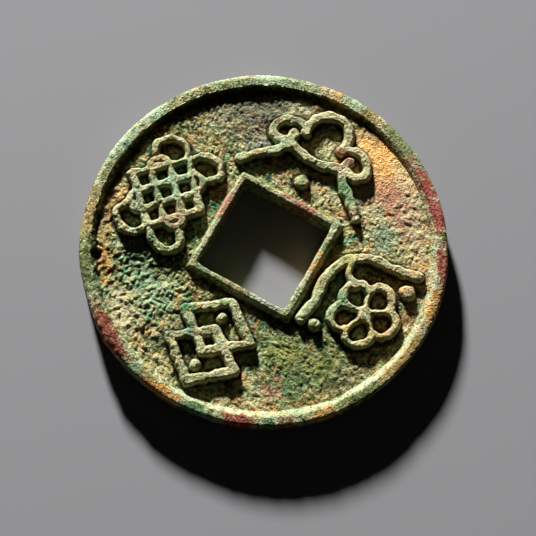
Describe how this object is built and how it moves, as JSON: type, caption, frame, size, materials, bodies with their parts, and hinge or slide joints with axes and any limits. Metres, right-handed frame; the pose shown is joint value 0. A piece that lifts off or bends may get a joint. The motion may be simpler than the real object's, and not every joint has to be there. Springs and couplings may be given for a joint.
{
  "type": "chinese cash coin",
  "caption": "Round cast bronze coin with a square hole, raised rims round its edge and hole, raised ornaments on the obverse and a mottled green patina.",
  "frame": {"origin": "centre of the bounding box on the plane of the reverse rim faces, on which the coin lies", "axes": "+Z out of the obverse, +Y towards the cloud ornament, square hole's sides along X and Y"},
  "size_m": [0.046, 0.046, 0.0034],
  "materials": {
    "field_patina": "rough dark olive patina with grey, green and ochre crust",
    "outer_rim_patina": "worn patina in sage green, olive and ochre with red cuprite patches",
    "inner_rim_patina": "pale cream and green patina with red streaks",
    "relief_patina": "pale cream and sage green patina on worn raised metal"
  },
  "bodies": {
    "root": {"field": "field_patina", "outer_rim": "outer_rim_patina", "inner_rim": "inner_rim_patina", "cloud_relief": "relief_patina", "cloud_pearl": "relief_patina", "knot_relief": "relief_patina", "lozenge_relief": "relief_patina", "lozenge_pearl_inner": "relief_patina", "lozenge_pearl_outer": "relief_patina", "plum_relief": "relief_patina", "plum_bud_outer": "relief_patina", "plum_bud_inner": "relief_patina"}
  },
  "joints": []
}
